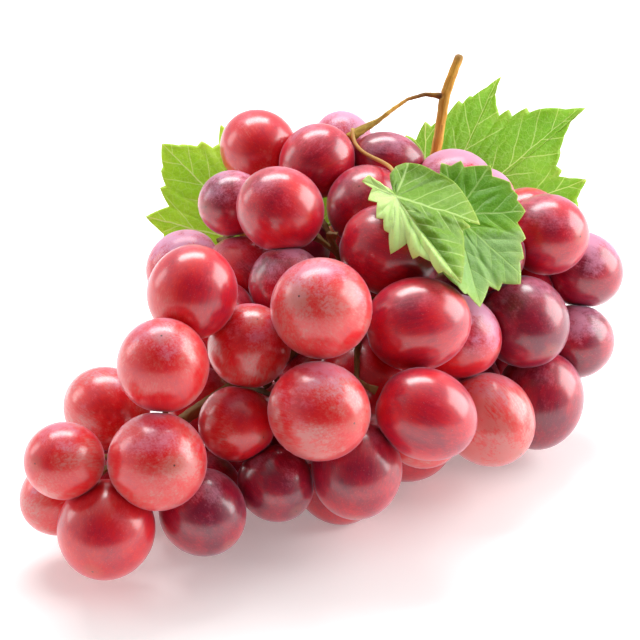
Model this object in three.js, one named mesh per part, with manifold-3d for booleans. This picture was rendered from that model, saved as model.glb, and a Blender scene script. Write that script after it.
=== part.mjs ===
// A bunch of red table grapes, picked with its stalk and four leaves, lying on a table.
// Millimetres, +Z up. The origin is on the table under the middle of the bunch, and
// +X runs along the bunch from its tip to the end with the stalk.
import * as THREE from "three";
import { mergeVertices } from "three/addons/utils/BufferGeometryUtils.js";
import Module from "manifold-3d";

const wasm = await Module();
wasm.setup();

// Driving dimensions

const BERRY_SIDES = 8; // facets round a berry
const BERRY_RINGS = 6; // facets from its stalk end to its far end
const LEAST_LENGTHENING = 1.03; // a berry's length over its width
const MOST_LENGTHENING = 1.09;
const FACET_GROWTH = 1.045; // brings a faceted berry to a round one's volume
const PRESS = 1.5; // how far neighbours squeeze into each other
const PULL_REACH = 3; // a gap that the weight of the bunch closes
const SINK = 0.9; // how far a berry on the table is flattened by its weight
const GAP = 0.4; // between a berry and the end of its stalk
const ROOM = 0.35; // between other pieces that touch

const PEDICEL_RADIUS = 0.95;
const RECEPTACLE_RADIUS = 1.7; // the flared end that holds the berry
const RECEPTACLE_LENGTH = 2.5;
const LIMB_STEP = 6; // from one ring of a stalk to the next
const STALK_SIDES = 7;
const PEDICEL_SIDES = 3;

const BLADE_THICKNESS = 0.8;
const BLADE_CLEARANCE = 2.7; // from a blade's middle to the berries it lies against
const BLADE_RINGS = [0.26, 0.52, 0.77, 1];
const NOTCH_DEPTH = 0.06; // share of the shorter tooth's reach
const NOTCH_SHARE = 0.35; // of the way from the shorter tooth to the longer one
const PETIOLE_RADIUS = 0.9;
const PETIOLE_SIDES = 5;

const BERRY_COLOR = 0xa8283a;
const BERRY_ROUGHNESS = 0.35;
const STALK_COLOR = 0x8a5a2b;
const STALK_ROUGHNESS = 0.7;
const LEAF_ROUGHNESS = 0.5;

const SEED = 20;
const SEED_FACTOR = 1664525;
const SEED_STEP = 1013904223;

// The side that faces the viewer is laid out as it is seen: a column and a row in a square
// picture, and the height of the point above the table.
const PICTURE = 640;
const EYE_ELEVATION = THREE.MathUtils.degToRad(27);
const EYE_TURN = THREE.MathUtils.degToRad(-44); // the viewer stands to the left of the tip
const EYE_DISTANCE = 620;
const FOCAL_LENGTH = 2270; // in columns
const AIM = new THREE.Vector3(-0.9, 4, 38); // the point seen at the picture's middle

const away = new THREE.Vector3(
  -Math.sin(EYE_TURN) * Math.cos(EYE_ELEVATION),
  Math.cos(EYE_TURN) * Math.cos(EYE_ELEVATION),
  -Math.sin(EYE_ELEVATION),
);
const right = new THREE.Vector3(Math.cos(EYE_TURN), Math.sin(EYE_TURN), 0);
const upward = new THREE.Vector3().crossVectors(right, away);
const toward = away.clone().negate();
const eye = AIM.clone().addScaledVector(away, -EYE_DISTANCE);

// The direction of the line of sight through a column and row.
function sight(column, row) {
  return away
    .clone()
    .addScaledVector(right, (column - PICTURE / 2) / FOCAL_LENGTH)
    .addScaledVector(upward, (PICTURE / 2 - row) / FOCAL_LENGTH)
    .normalize();
}

// The point at a height above the table that is seen at a column and row.
function seenAt({ column, row, height }) {
  const line = sight(column, row);
  return eye.clone().addScaledVector(line, (height - eye.z) / line.z);
}

function sightTo(point) {
  return point.clone().sub(eye).normalize();
}

// Even draws between 0 and 1, the same on every run.
let drawn = SEED;
function draw() {
  drawn = (Math.imul(drawn, SEED_FACTOR) + SEED_STEP) >>> 0;
  return drawn / 2 ** 32;
}
const between = (low, high) => low + (high - low) * draw();

// Berries that face the viewer, from the tip to the stalk. An oval one has its length and the
// lean of its long axis in the picture, in degrees from the right.

const FACING = [
  { column: 106, row: 530, height: 18, width: 24 },
  { column: 203, row: 512.5, height: 18.5, width: 21.5 },
  { column: 276, row: 483.5, height: 19, width: 19 },
  { column: 339, row: 478, height: 10, width: 23.5 },
  { column: 405, row: 436, height: 12.6, width: 24.5 },
  { column: 489, row: 420, height: 21, width: 24 },
  { column: 539, row: 400, height: 17, width: 24.1, length: 27.1, lean: 80 },
  { column: 61, row: 496, height: 18, width: 19.5 },
  { column: 64, row: 461, height: 36, width: 19 },
  { column: 157.5, row: 461.5, height: 37, width: 24 },
  { column: 356.5, row: 470.5, height: 23, width: 23 },
  { column: 424, row: 431, height: 24, width: 19.5 },
  { column: 237, row: 424, height: 34, width: 19 },
  { column: 319.5, row: 411.5, height: 43.2, width: 24.5 },
  { column: 426.5, row: 414.5, height: 38, width: 22.9, length: 26.0, lean: -25 },
  { column: 106.5, row: 409, height: 32, width: 21.5 },
  { column: 163, row: 365, height: 56, width: 22.5 },
  { column: 200, row: 405, height: 25, width: 20 },
  { column: 249.5, row: 345.5, height: 52, width: 21 },
  { column: 321, row: 308, height: 64, width: 25 },
  { column: 418, row: 324, height: 54, width: 23.8, length: 27.2, lean: 12 },
  { column: 457.5, row: 336.5, height: 42, width: 22 },
  { column: 524, row: 322, height: 40, width: 24 },
  { column: 576, row: 341, height: 26.5, width: 20.5 },
  { column: 192.5, row: 292, height: 68, width: 22.5 },
  { column: 287, row: 285, height: 59, width: 20 },
  { column: 243, row: 273, height: 55, width: 19 },
  { column: 184, row: 267, height: 51, width: 19.5 },
  { column: 391, row: 250, height: 66, width: 23.1, length: 27.3, lean: -15 },
  { column: 280, row: 209.5, height: 75.7, width: 22 },
  { column: 231.5, row: 203.5, height: 72.5, width: 17.5 },
  { column: 367.5, row: 206, height: 69, width: 22 },
  { column: 317, row: 161.5, height: 76.8, width: 20 },
  { column: 258.5, row: 148.5, height: 76, width: 21 },
  { column: 343, row: 142.5, height: 75.8, width: 16.5 },
  { column: 388, row: 162, height: 74.3, width: 16.3, length: 20.5, lean: -12 },
  { column: 453.5, row: 190, height: 68.5, width: 22.3 },
  { column: 484.5, row: 197.5, height: 62, width: 16.5 },
  { column: 527, row: 221, height: 50, width: 19 },
  { column: 547.5, row: 234.5, height: 58, width: 22 },
  { column: 582.5, row: 270, height: 43.5, width: 21 },
];

function newBerry(centre, width) {
  const girth = width / 2;
  const half = girth * between(LEAST_LENGTHENING, MOST_LENGTHENING);
  return { centre, girth, half, radius: girth, line: null, longAxis: null };
}

const facing = FACING.map((place) => {
  const berry = newBerry(seenAt(place), place.width);
  berry.line = sight(place.column, place.row);
  if (!place.length) return berry;
  const lean = THREE.MathUtils.degToRad(place.lean);
  berry.half = place.length / 2;
  berry.radius = (berry.half + berry.girth) / 2;
  berry.longAxis = new THREE.Vector3()
    .addScaledVector(right, Math.cos(lean))
    .addScaledVector(upward, Math.sin(lean));
  return berry;
});

// Berries that squeeze each other too far move apart and near ones close up, those in view only
// along their line of sight. None sinks into the table further than its weight presses it.
const SETTLING_ROUNDS = 300;
const CLOSING_ROUNDS = 12;
const PULL = 0.15;

function settle(all, isFree, pull, rounds, blocks = []) {
  const push = new THREE.Vector3();
  for (let round = 0; round < rounds; round++) {
    for (const berry of all.filter(isFree)) {
      for (const { centre, radius } of blocks) {
        push.subVectors(berry.centre, centre);
        const excess = berry.radius * FACET_GROWTH + radius - push.length();
        if (excess > 0) nudge(berry, push.setLength(excess));
      }
    }
    for (let i = 0; i < all.length; i++) {
      for (let j = 0; j < i; j++) {
        push.subVectors(all[i].centre, all[j].centre);
        const excess = all[i].radius + all[j].radius - PRESS - push.length();
        if (excess < -PULL_REACH || (excess <= 0 && !pull)) continue;
        push.setLength(1).multiplyScalar((excess / 2) * (excess > 0 ? 1 : pull));
        if (isFree(all[i])) nudge(all[i], push);
        if (isFree(all[j])) nudge(all[j], push.negate());
      }
    }
  }
}

function nudge({ centre, line, radius }, push) {
  if (line) centre.addScaledVector(line, Math.sign(push.dot(line)) * push.length());
  else centre.add(push);
  const sunk = radius - SINK - centre.z;
  if (sunk <= 0) return;
  if (line) centre.addScaledVector(line, sunk / line.z);
  else centre.z += sunk;
}

settle(facing, () => true, PULL, CLOSING_ROUNDS);
settle(facing, () => true, 0, SETTLING_ROUNDS);

// The stalk with the axis of the bunch, from the cut end to the tip, and the side arm that
// carries the berries at the top. What lies inside the bunch is bent clear of the berries.

const STALK = [
  { column: 459.3, row: 56.5, height: 98, radius: 0.7 },
  { column: 451.5, row: 77, height: 93, radius: 0.95 },
  { column: 444.7, row: 96.5, height: 88, radius: 1.15 },
  { column: 440.5, row: 124, height: 81, radius: 1.2 },
  { column: 435.5, row: 154, height: 73, radius: 1.3 },
  { column: 424, row: 205, height: 60, radius: 1.8 },
  { column: 380, row: 290, height: 47, radius: 2.2 },
  { column: 300, row: 350, height: 42, radius: 2 },
  { column: 215, row: 405, height: 36, radius: 1.7 },
  { column: 130, row: 455, height: 27, radius: 1.2 },
];
const STALK_IN_VIEW = 4.2;

const SIDE_ARM = [
  { column: 444.7, row: 96.5, height: 88, radius: 0.95 },
  { column: 432, row: 94, height: 88.5, radius: 0.65 },
  { column: 420, row: 95, height: 88.4, radius: 0.55 },
  { column: 409, row: 98.5, height: 87.9, radius: 0.5 },
  { column: 399, row: 104.5, height: 86.9, radius: 0.5 },
  { column: 386, row: 115, height: 84.9, radius: 0.55 },
  { column: 374, row: 123.5, height: 83.4, radius: 0.8 },
  { column: 363, row: 129, height: 82.5, radius: 1.2 },
  { column: 352, row: 132.5, height: 82.1, radius: 1.5 },
  { column: 348, row: 139, height: 80.7, radius: 1.4 },
];
const ARM_IN_VIEW = 8;

const STALK_ROOM = 3.8; // from the middle of a stalk to the berries round it
const BENDING_ROUNDS = 80;
const BENDING_EASE = 0.25;

// Moves the inner points of a limb out of the berries that it would run through.
function bendClear(points, fixed, obstacles, room) {
  const offset = new THREE.Vector3();
  for (let round = 0; round < BENDING_ROUNDS; round++) {
    for (let i = fixed; i < points.length - 1; i++) {
      points[i].lerp(points[i - 1].clone().lerp(points[i + 1], 0.5), BENDING_EASE);
      for (const { centre, radius } of obstacles) {
        offset.subVectors(points[i], centre);
        const excess = radius + room - offset.length();
        if (excess > 0) points[i].add(offset.setLength(excess));
      }
    }
  }
  return points;
}

// A limb's points at even steps, with its thickness at each.
function limbThrough(places, inView) {
  const curve = new THREE.CatmullRomCurve3(places.map(seenAt));
  const steps = Math.ceil(curve.getLength() / LIMB_STEP);
  const limb = { points: [], radii: [], open: 0, sides: STALK_SIDES };
  for (let i = 0; i <= steps; i++) {
    const along = curve.getUtoTmapping(i / steps) * (places.length - 1);
    const place = Math.min(Math.floor(along), places.length - 2);
    limb.points.push(curve.getPointAt(i / steps));
    limb.radii.push(
      THREE.MathUtils.lerp(places[place].radius, places[place + 1].radius, along - place),
    );
    if (along <= inView) limb.open = i + 1;
  }
  bendClear(limb.points, limb.open, facing, STALK_ROOM);
  limb.blocks = limb.points.map((centre) => ({ centre, radius: STALK_ROOM }));
  return limb;
}

const stalk = limbThrough(STALK, STALK_IN_VIEW);
const sideArm = limbThrough(SIDE_ARM, ARM_IN_VIEW);

// Leaves. A blade's outline is a round of tooth tips, each at an angle in the picture, counted
// in degrees from the right, and so far from the joint with the petiole, which lies in the
// sinus. The blade leans towards the viewer by its slopes to the right and upward, and folds
// along its midrib.

const LEAVES = [
  {
    name: "leaf_left",
    joint: { column: 264, row: 247, height: 51.5 },
    behind: true,
    slope: { right: 0.1, up: -0.25 },
    fold: { angle: 135, rise: -0.1 },
    sinus: 315,
    teeth: [
      [20, 24], [45, 28], [70, 30], [92, 33], [109, 36.5], [120, 34.6], [128, 36.8], [135, 40.8],
      [144, 36], [150.5, 33.6], [165.6, 34.3], [185, 27], [205, 24], [230, 22], [252, 17],
    ],
    color: 0x7fb43a,
  },
  {
    name: "leaf_right",
    joint: { column: 423, row: 240, height: 47.5 },
    behind: true,
    slope: { right: -0.45, up: -0.1 },
    fold: { angle: 39, rise: -0.08 },
    sinus: 220,
    teeth: [
      [0, 38], [12.6, 46], [20.3, 50.8], [26.4, 45], [32.7, 47.7], [39.1, 60.8], [48.1, 51.2],
      [51.9, 48.8], [56.7, 45.4], [64.4, 52.5], [72.4, 43.9], [75.9, 41.7], [88.8, 34.2],
      [99.4, 30.8], [115, 26], [132, 20], [305, 22], [325, 29], [345, 34],
    ],
    color: 0x7fb43a,
  },
  {
    name: "leaf_under",
    joint: { column: 455, row: 215, height: 69.7 },
    behind: false,
    slope: { right: 0.1, up: -0.55 },
    fold: { angle: 285, rise: -0.1 },
    sinus: 165,
    teeth: [
      [17, 17.6], [32, 17.1], [54, 16], [84, 14.6], [103, 14.2], [130, 10], [200, 9], [230, 12],
      [258, 15.7], [271, 19.2], [277, 21.2], [285.4, 25.3], [300, 23.5], [313.4, 25.5],
      [327, 21.7], [342, 19.9], [2, 18.9],
    ],
    color: 0x5d9434,
  },
  {
    name: "leaf_front",
    joint: { column: 396, row: 197, height: 76.9 },
    behind: false,
    slope: { right: -0.45, up: 0.05 },
    fold: { angle: 308, rise: 0.2 },
    sinus: 121,
    teeth: [
      [2, 17.8], [15, 15.3], [36, 12.8], [73, 9.2], [104, 6.7], [139, 9.1], [154.6, 10],
      [185, 7.2], [228, 7.5], [251, 8.9], [264, 14.7], [285, 16.5], [299, 22.3], [307.6, 27.8],
      [322, 21.7], [340.6, 23.7], [350, 20.4],
    ],
    color: 0x8cc04a,
    petiole: [
      { column: 393, row: 167.5, height: 80.6 },
      { column: 382, row: 163.6, height: 80 },
      { column: 369, row: 155, height: 80.5 },
      { column: 359, row: 146, height: 80.3 },
      { column: 352, row: 132, height: 82.2 },
    ],
  },
];
const SINUS_DEPTH = 0.75;
const OVERLAP_ROOM = 1.5; // between leaves that lie over each other
const BLADE_ROOM = 1.4; // between a blade's middle and what is behind it
const DRAPING_ROUNDS = 6;
const SAMPLES_PER_RING = 4;

const obstacles = [...facing, ...stalk.blocks, ...sideArm.blocks];
const blades = LEAVES.map((leaf) => {
  const blade = { ...leaf, ...bladeOf(leaf) };
  for (const centre of samplesOf(blade)) obstacles.push({ centre, radius: OVERLAP_ROOM });
  return blade;
});
const blocksOf = (blade) => samplesOf(blade).map((centre) => ({ centre, radius: BLADE_ROOM }));
const bladeBlocks = blades.flatMap(blocksOf);

// Points all over a blade, close enough that no berry slips between them.
function samplesOf({ centre, rings }) {
  return rings.flatMap((ring, r) =>
    ring.flatMap((point, k) => {
      const inner = r ? rings[r - 1][k] : centre;
      const shares = Array.from({ length: SAMPLES_PER_RING }, (_, i) => i / SAMPLES_PER_RING);
      return shares.map((share) => point.clone().lerp(inner, share));
    }),
  );
}

// A blade's outline, with a notch beside the shorter of every two teeth.
function outlineOf({ teeth, sinus }) {
  return teeth.flatMap(([angle, reach], i) => {
    const [nextAngle, nextReach] = teeth[(i + 1) % teeth.length];
    const turn = (nextAngle - angle + 360) % 360;
    const isSinus = (sinus - angle + 360) % 360 < turn;
    const share = reach < nextReach ? NOTCH_SHARE : 1 - NOTCH_SHARE;
    const depth = isSinus ? SINUS_DEPTH : NOTCH_DEPTH;
    const notch = {
      angle: angle + turn * (isSinus ? 0.5 : share),
      reach: Math.min(reach, nextReach) * (1 - depth),
    };
    return [{ angle, reach }, notch];
  });
}

// A blade's middle surface, as rings of points round its joint.
function bladeOf(leaf) {
  const { joint, slope, fold, behind } = leaf;
  const centre = seenAt(joint);
  const midrib = THREE.MathUtils.degToRad(fold.angle);
  const rings = BLADE_RINGS.map((part) =>
    outlineOf(leaf).map(({ angle, reach }) => {
      const turn = THREE.MathUtils.degToRad(angle);
      const across = reach * part * Math.cos(turn);
      const up = reach * part * Math.sin(turn);
      const fromMidrib = Math.abs(reach * part * Math.sin(turn - midrib));
      const lift = slope.right * across + slope.up * up + fold.rise * fromMidrib;
      const point = centre.clone().addScaledVector(right, across).addScaledVector(upward, up);
      return point.addScaledVector(sightTo(point), -lift);
    }),
  );
  drape(centre, rings, behind ? 1 : -1);
  return { centre, rings };
}

// Lays a blade against the berries on one side of it, with a gentle rise round each of them.
function drape(centre, rings, side) {
  const count = rings[0].length;
  const needed = [[centre], ...rings].map((ring) =>
    ring.map((point) => rise(point, side, obstacles, BLADE_CLEARANCE)),
  );
  let shifts = needed.map((ring) => [...ring]);
  for (let round = 0; round < DRAPING_ROUNDS; round++) {
    shifts = shifts.map((ring, r) =>
      ring.map((shift, k) => {
        const near = [];
        if (r) near.push(ring[(k + 1) % count], ring[(k + count - 1) % count]);
        if (r) near.push(shifts[r - 1][r > 1 ? k : 0]);
        if (r && r < rings.length) near.push(shifts[r + 1][k]);
        if (!r) near.push(...shifts[1]);
        const mean = near.reduce((sum, value) => sum + value, 0) / near.length;
        return Math.max(needed[r][k], mean);
      }),
    );
  }
  centre.addScaledVector(sightTo(centre), side * shifts[0][0]);
  rings.forEach((ring, r) => {
    ring.forEach((point, k) => point.addScaledVector(sightTo(point), side * shifts[r + 1][k]));
  });
}

// How far a point has to move along its line of sight until it is clear of the berries.
function rise(point, side, things, room) {
  const line = sightTo(point).multiplyScalar(side);
  let shift = 0;
  for (const { centre, radius } of things) {
    const offset = point.clone().sub(centre);
    const along = offset.dot(line);
    const reach = radius + room;
    const depth = reach * reach - offset.lengthSq() + along * along;
    if (depth > 0) shift = Math.max(shift, Math.sqrt(depth) - along);
  }
  return shift;
}

// Berries out of the viewer's sight, in a spiral round the middle of the bunch. A place is
// taken where it is clear of the berries, stalks and leaves so far.

const SPINE_START = { column: 510, row: 240, height: 40 };
const SPINE_END = { column: 105, row: 475, height: 22 };
const ASIDE = new THREE.Vector3(0, 1, 0); // square to the length of the bunch
const SPIRAL_STEPS = 1200;
const GOLDEN_ANGLE = Math.PI * (3 - Math.sqrt(5));
const SHOULDER_SPREAD = 40;
const TIP_SPREAD = 17;
const ROUND_END = 0.2; // share of the length over which the shoulder rounds off
const LAYERS = [1, 0.92, 0.84, 0.76, 0.68, 0.6];
const LEAST_WIDTH = 20;
const MOST_WIDTH = 24;
const CLOSEST = 0.87; // share of two berries' mean width between their centres
const RIM_POINTS = 16;
const BARE_RIM_POINTS = 3; // that may show in the slits between other berries
const COVER_RADIUS = 4; // of a leaf round each of its points

const hidden = [];
const blocks = [...bladeBlocks, ...stalk.blocks, ...sideArm.blocks];
const covers = [
  ...facing,
  ...blades
    .filter(({ behind }) => !behind)
    .flatMap(samplesOf)
    .map((centre) => ({ centre, radius: COVER_RADIUS })),
];
const spineStart = seenAt(SPINE_START);
const spine = seenAt(SPINE_END).sub(spineStart);
const spineLength = spine.length();
spine.normalize();
const below = new THREE.Vector3().crossVectors(spine, ASIDE).normalize();
const beside = new THREE.Vector3().crossVectors(below, spine);
for (const layer of LAYERS) {
  for (let step = 0; step < SPIRAL_STEPS; step++) {
    const share = step / SPIRAL_STEPS;
    const swell = 1 - Math.min(1, share / ROUND_END);
    const girth = THREE.MathUtils.lerp(SHOULDER_SPREAD, TIP_SPREAD, share);
    const spread = layer * girth * Math.sqrt(1 - swell * swell);
    const centre = spineStart
      .clone()
      .addScaledVector(spine, share * spineLength)
      .addScaledVector(below, spread * Math.cos(step * GOLDEN_ANGLE))
      .addScaledVector(beside, spread * Math.sin(step * GOLDEN_ANGLE));
    const berry = newBerry(centre, between(LEAST_WIDTH, MOST_WIDTH));
    centre.z = Math.max(centre.z, berry.radius - SINK);
    if (hasRoom(berry) && isHidden(berry)) hidden.push(berry);
  }
}

function hasRoom({ centre, radius }) {
  const far = (point, reach) => point.distanceTo(centre) > reach;
  return (
    [...facing, ...hidden].every((other) => far(other.centre, CLOSEST * (radius + other.radius))) &&
    blocks.every((block) => far(block.centre, radius + block.radius))
  );
}

// Whether the berries and leaves in view cover a berry, but for slits between them.
function isHidden({ centre, radius }) {
  let bare = 0;
  for (let k = 0; k < RIM_POINTS; k++) {
    const turn = (2 * Math.PI * k) / RIM_POINTS;
    const line = centre
      .clone()
      .addScaledVector(right, radius * Math.cos(turn))
      .addScaledVector(upward, radius * Math.sin(turn))
      .sub(eye);
    const depth = line.length();
    const ray = new THREE.Ray(eye, line.normalize());
    const isCovered = covers.some(
      (other) =>
        ray.distanceToPoint(other.centre) < other.radius && other.centre.distanceTo(eye) < depth,
    );
    if (!isCovered) bare++;
  }
  return bare <= BARE_RIM_POINTS;
}

const berries = [...facing, ...hidden];
const isLoose = (berry) => !berry.line;
settle(berries, isLoose, PULL, SETTLING_ROUNDS, blocks);
settle(berries, isLoose, 0, SETTLING_ROUNDS, blocks);

// Pedicels. Each berry hangs on a short stalk that leaves the nearest stalk so far.

const TRIES = 12;
const PEDICEL_STEP = 4;
const PEDICEL_STRIDE = 2; // steps from one ring of a pedicel to the next
const PEDICEL_ROOM = 2; // from the middle of a pedicel to the berries beside it

const skeleton = [];
function addToSkeleton({ points, radii }, first, last) {
  for (let i = first; i < last; i++) skeleton.push({ point: points[i], radius: radii[i] });
}
addToSkeleton(stalk, stalk.open, stalk.points.length);
addToSkeleton(sideArm, sideArm.open, sideArm.points.length);

const distanceToStalk = ({ centre }) =>
  Math.min(...skeleton.map(({ point }) => point.distanceTo(centre)));
const outwards = berries
  .map((berry) => ({ berry, distance: distanceToStalk(berry) }))
  .sort((a, b) => a.distance - b.distance);

const pedicels = outwards.map(({ berry }) => pedicelTo(berry));

function pedicelTo(berry) {
  const others = [...berries.filter((other) => other !== berry), ...bladeBlocks];
  const limb = nearestLimb(berry.centre, others, (root) => pedicelFrom(root, berry, others));
  berry.axis = limb.axis;
  addToSkeleton(limb, 1, limb.points.length - 2);
  return limb;
}

// Of the limbs to the nearest points of the stalks, the first that is clear of the rest.
function nearestLimb(end, others, limbFrom) {
  const roots = skeleton
    .map(({ point }) => ({ point, distance: point.distanceTo(end) }))
    .sort((a, b) => a.distance - b.distance)
    .slice(0, TRIES);
  let best = null;
  for (const { point } of roots) {
    const limb = limbFrom(point);
    limb.clearance = clearanceOf(limb.points, others);
    if (!best || limb.clearance > best.clearance) best = limb;
    if (best.clearance > 0) break;
  }
  return best;
}

function pedicelFrom(root, berry, others) {
  const axis = root.clone().sub(berry.centre).normalize();
  if (berry.longAxis) {
    const side = Math.sign(axis.dot(berry.longAxis));
    axis.copy(berry.longAxis).multiplyScalar(side);
  }
  const pole = berry.centre.clone().addScaledVector(axis, berry.half * FACET_GROWTH + GAP);
  const neck = pole.clone().addScaledVector(axis, RECEPTACLE_LENGTH);
  const steps = Math.max(2, Math.round(root.distanceTo(neck) / PEDICEL_STEP));
  const path = lineOf(root, neck, steps);
  bendClear(path, 1, [...others, berry], PEDICEL_ROOM);
  const points = path.filter((_, i) => i === steps || i % PEDICEL_STRIDE === 0);
  const radii = points.map(() => PEDICEL_RADIUS);
  points.push(pole);
  radii.push(RECEPTACLE_RADIUS);
  return { points, radii, axis, sides: PEDICEL_SIDES };
}

function lineOf(start, end, steps) {
  return Array.from({ length: steps + 1 }, (_, i) => start.clone().lerp(end, i / steps));
}

// A leaf's petiole, from its joint to the nearest stalk or along its own way.
function petioleOf(blade) {
  const others = [...berries, ...blades.filter((other) => other !== blade).flatMap(blocksOf)];
  if (blade.petiole) {
    const curve = new THREE.CatmullRomCurve3([blade.centre, ...blade.petiole.map(seenAt)]);
    const points = curve.getSpacedPoints(Math.ceil(curve.getLength() / PEDICEL_STEP));
    for (const point of points) {
      point.addScaledVector(sightTo(point), -rise(point, -1, berries, PEDICEL_ROOM));
    }
    return { points, radii: points.map(() => PETIOLE_RADIUS), sides: PETIOLE_SIDES };
  }
  return nearestLimb(blade.centre, others, (root) => {
    const steps = Math.max(2, Math.round(root.distanceTo(blade.centre) / PEDICEL_STEP));
    const points = lineOf(blade.centre, root, steps);
    bendClear(points, 1, others, PEDICEL_ROOM);
    return { points, radii: points.map(() => PETIOLE_RADIUS), sides: PETIOLE_SIDES };
  });
}

// The room left between a limb's middle line and the nearest of the things beside it.
function clearanceOf(points, others) {
  const nearest = new THREE.Vector3();
  let least = Infinity;
  for (let i = 1; i < points.length; i++) {
    const segment = new THREE.Line3(points[i - 1], points[i]);
    for (const { centre, radius } of others) {
      segment.closestPointToPoint(centre, true, nearest);
      least = Math.min(least, nearest.distanceTo(centre) - radius * FACET_GROWTH - PEDICEL_RADIUS);
    }
  }
  return least;
}

// Solids. Pieces of a node are fused to one body, and scrap that is cut loose, or hangs on by a
// point only, is dropped.

const WELD = 0.001; // corners this close to each other are one
function solidOf(geometry) {
  const bare = new THREE.BufferGeometry();
  bare.setAttribute("position", geometry.attributes.position);
  bare.setIndex(geometry.index);
  const merged = mergeVertices(bare, WELD);
  return new wasm.Manifold(
    new wasm.Mesh({
      numProp: 3,
      vertProperties: merged.attributes.position.array,
      triVerts: new Uint32Array(merged.index.array),
    }),
  );
}

function geometryOf(solid) {
  const { vertProperties, triVerts } = solid.getMesh();
  const geometry = new THREE.BufferGeometry();
  geometry.setAttribute("position", new THREE.BufferAttribute(vertProperties, 3));
  geometry.setIndex(new THREE.BufferAttribute(triVerts, 1));
  geometry.computeVertexNormals();
  return geometry;
}

function closedMesh(vertices, triangles) {
  const geometry = new THREE.BufferGeometry();
  geometry.setAttribute(
    "position",
    new THREE.Float32BufferAttribute(vertices.flatMap((vertex) => vertex.toArray()), 3),
  );
  geometry.setIndex(triangles.flat());
  return solidOf(geometry);
}

// A limb as rings of points with closed ends. The rings start from a direction that no limb
// runs along.
const ASLANT = new THREE.Vector3(0.3, 0.5, 0.8);
function limbSolid({ points, radii, sides }, growth = 0) {
  const vertices = [];
  const triangles = [];
  const last = points.length - 1;
  const normal = ASLANT.clone();
  points.forEach((point, i) => {
    const before = points[Math.max(i - 1, 0)];
    const after = points[Math.min(i + 1, last)];
    const tangent = after.clone().sub(before).normalize();
    normal.addScaledVector(tangent, -normal.dot(tangent)).normalize();
    const binormal = new THREE.Vector3().crossVectors(tangent, normal);
    for (let k = 0; k < sides; k++) {
      const turn = (2 * Math.PI * k) / sides;
      vertices.push(
        point
          .clone()
          .addScaledVector(normal, (radii[i] + growth) * Math.cos(turn))
          .addScaledVector(binormal, (radii[i] + growth) * Math.sin(turn)),
      );
    }
  });
  const at = (ring, k) => ring * sides + (k % sides);
  for (let ring = 0; ring < last; ring++) {
    for (let k = 0; k < sides; k++) {
      triangles.push([at(ring, k), at(ring, k + 1), at(ring + 1, k)]);
      triangles.push([at(ring, k + 1), at(ring + 1, k + 1), at(ring + 1, k)]);
    }
  }
  for (let k = 1; k < sides - 1; k++) {
    triangles.push([at(0, 0), at(0, k + 1), at(0, k)]);
    triangles.push([at(last, 0), at(last, k), at(last, k + 1)]);
  }
  return closedMesh(vertices, triangles);
}

// A berry, with its poles on its stalk's line.
const POLE = new THREE.Vector3(0, 1, 0);
function berrySolid({ centre, girth, half, axis }, growth = 0) {
  const geometry = new THREE.SphereGeometry(1, BERRY_SIDES, BERRY_RINGS);
  const turn = new THREE.Quaternion().setFromUnitVectors(POLE, axis);
  const size = new THREE.Vector3(girth, half, girth)
    .multiplyScalar(FACET_GROWTH)
    .addScalar(growth);
  geometry.applyMatrix4(new THREE.Matrix4().compose(centre, turn, size));
  return solidOf(geometry);
}

// A blade with the same triangles on both faces, joined by its edge.
function bladeSolid({ centre, rings }, thickness) {
  const half = thickness / 2;
  const middle = [centre, ...rings.flat()];
  const vertices = [
    ...middle.map((point) => point.clone().addScaledVector(toward, half)),
    ...middle.map((point) => point.clone().addScaledVector(toward, -half)),
  ];
  const behind = (index) => index + middle.length;
  const count = rings[0].length;
  const at = (ring, k) => 1 + ring * count + (k % count);
  const face = [];
  for (let k = 0; k < count; k++) {
    face.push([0, at(0, k), at(0, k + 1)]);
    for (let ring = 1; ring < rings.length; ring++) {
      face.push([at(ring - 1, k), at(ring, k), at(ring, k + 1)]);
      face.push([at(ring - 1, k), at(ring, k + 1), at(ring - 1, k + 1)]);
    }
  }
  const triangles = [...face];
  for (const [a, b, c] of face) triangles.push([behind(a), behind(c), behind(b)]);
  const rim = rings.length - 1;
  for (let k = 0; k < count; k++) {
    const a = at(rim, k);
    const b = at(rim, k + 1);
    triangles.push([a, behind(a), behind(b)]);
    triangles.push([a, behind(b), b]);
  }
  return closedMesh(vertices, triangles);
}

const join = (solids) => solids.reduce((whole, solid) => whole.add(solid));
const largest = (solid) =>
  solid.decompose().reduce((best, body) => (body.volume() > best.volume() ? body : best));

const TABLE_SIZE = 600;
const table = solidOf(
  new THREE.BoxGeometry(TABLE_SIZE, TABLE_SIZE, TABLE_SIZE).translate(0, 0, -TABLE_SIZE / 2),
);

const group = new THREE.Group();
function addNode(name, solid, color, roughness) {
  const material = new THREE.MeshStandardMaterial({ color, roughness, metalness: 0 });
  const body = largest(solidOf(geometryOf(largest(solid))));
  const mesh = new THREE.Mesh(geometryOf(body), material);
  mesh.name = name;
  group.add(mesh);
}

const fruit = join(berries.map((berry) => berrySolid(berry))).subtract(table);
addNode("berries", fruit, BERRY_COLOR, BERRY_ROUGHNESS);

const limbs = [stalk, sideArm, ...pedicels];
const fruitRoom = join(berries.map((berry) => berrySolid(berry, ROOM)));
const bladeRoom = join(blades.map((blade) => bladeSolid(blade, BLADE_THICKNESS + 2 * ROOM)));
const stems = join(limbs.map((limb) => limbSolid(limb))).subtract(fruitRoom).subtract(bladeRoom);
addNode("stem", stems, STALK_COLOR, STALK_ROUGHNESS);

const stemRoom = join(limbs.map((limb) => limbSolid(limb, ROOM)));
for (const blade of blades) {
  const petiole = limbSolid(petioleOf(blade));
  const whole = bladeSolid(blade, BLADE_THICKNESS).add(petiole);
  const leaf = whole.subtract(stemRoom).subtract(fruitRoom);
  addNode(blade.name, leaf, blade.color, LEAF_ROUGHNESS);
}

export default group;
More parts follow.
